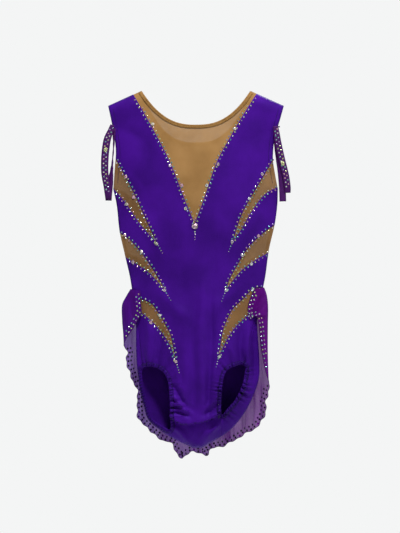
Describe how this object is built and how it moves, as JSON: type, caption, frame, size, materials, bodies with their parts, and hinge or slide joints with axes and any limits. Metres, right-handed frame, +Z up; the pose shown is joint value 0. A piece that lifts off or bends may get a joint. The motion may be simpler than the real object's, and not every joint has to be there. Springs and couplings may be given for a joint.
{
  "type": "gymnastics leotard",
  "caption": "Sleeveless rhythmic-gymnastics leotard with see-through neck and side slashes, crystal edging, ribbon arm bands and a sheer skirt behind.",
  "frame": {"origin": "midway between the neck ends of the two shoulder seams, the line that a hanger holds", "axes": "+Z up, +X to the right of someone facing the front, the front faces -Y"},
  "size_m": [0.3516, 0.0895, 0.682],
  "materials": {
    "stretch_fabric": "satin four-way stretch knit",
    "nude_mesh": "fine see-through stretch mesh",
    "skirt_mesh": "sheer stretch mesh",
    "band_ribbon": "folded ribbon of skirt mesh",
    "lining": "matt lining knit",
    "elastic": "woven elastic tape",
    "thread": "overlock thread",
    "crystal": "foiled flat-back crystal with an iridescent coat"
  },
  "bodies": {
    "root": {"back_body": "stretch_fabric", "back_neck_binding": "nude_mesh", "back_yoke_mesh": "nude_mesh", "centre_stone": "crystal", "front_body": "stretch_fabric", "front_neck_binding": "nude_mesh", "front_neck_mesh": "nude_mesh", "gusset": "stretch_fabric", "gusset_lining": "lining", "left_back_armhole_facing": "lining", "left_band_tack": "thread", "left_front_armhole_facing": "lining", "left_leg_binding": "stretch_fabric", "left_leg_elastic": "elastic", "left_lower_back_mesh": "nude_mesh", "left_lower_front_mesh": "nude_mesh", "left_lower_tip_stone": "crystal", "left_middle_back_mesh": "nude_mesh", "left_middle_front_mesh": "nude_mesh", "left_middle_tip_stone": "crystal", "left_neck_stone_1": "crystal", "left_neck_stone_2": "crystal", "left_neck_stone_3": "crystal", "left_shoulder_tape": "elastic", "left_side_seam": "thread", "left_skirt_corner": "skirt_mesh", "left_upper_back_mesh": "nude_mesh", "left_upper_front_mesh": "nude_mesh", "left_upper_tip_stone": "crystal", "right_back_armhole_facing": "lining", "right_band_tack": "thread", "right_front_armhole_facing": "lining", "right_leg_binding": "stretch_fabric", "right_leg_elastic": "elastic", "right_lower_back_mesh": "nude_mesh", "right_lower_front_mesh": "nude_mesh", "right_lower_tip_stone": "crystal", "right_middle_back_mesh": "nude_mesh", "right_middle_front_mesh": "nude_mesh", "right_middle_tip_stone": "crystal", "right_neck_stone_1": "crystal", "right_neck_stone_2": "crystal", "right_neck_stone_3": "crystal", "right_shoulder_tape": "elastic", "right_side_seam": "thread", "right_skirt_corner": "skirt_mesh", "right_upper_back_mesh": "nude_mesh", "right_upper_front_mesh": "nude_mesh", "right_upper_tip_stone": "crystal", "skirt_seam_tape": "lining"},
    "skirt": {"skirt": "skirt_mesh"},
    "left_arm_band": {"left_crystal_arm_band": "band_ribbon", "left_plain_arm_band": "band_ribbon"},
    "right_arm_band": {"right_crystal_arm_band": "band_ribbon", "right_plain_arm_band": "band_ribbon"}
  },
  "joints": [
    {"name": "skirt_swing", "type": "hinge", "parent": "root", "child": "skirt", "pos_m": [0, 0.034, -0.371], "axis": [1, 0, 0], "range_deg": [0, 70]},
    {"name": "left_band_swing", "type": "hinge", "parent": "root", "child": "left_arm_band", "pos_m": [-0.158, -0.01, -0.068], "axis": [0, 1, 0], "range_deg": [0, 80]},
    {"name": "right_band_swing", "type": "hinge", "parent": "root", "child": "right_arm_band", "pos_m": [0.158, -0.01, -0.068], "axis": [0, -1, 0], "range_deg": [0, 80]}
  ]
}
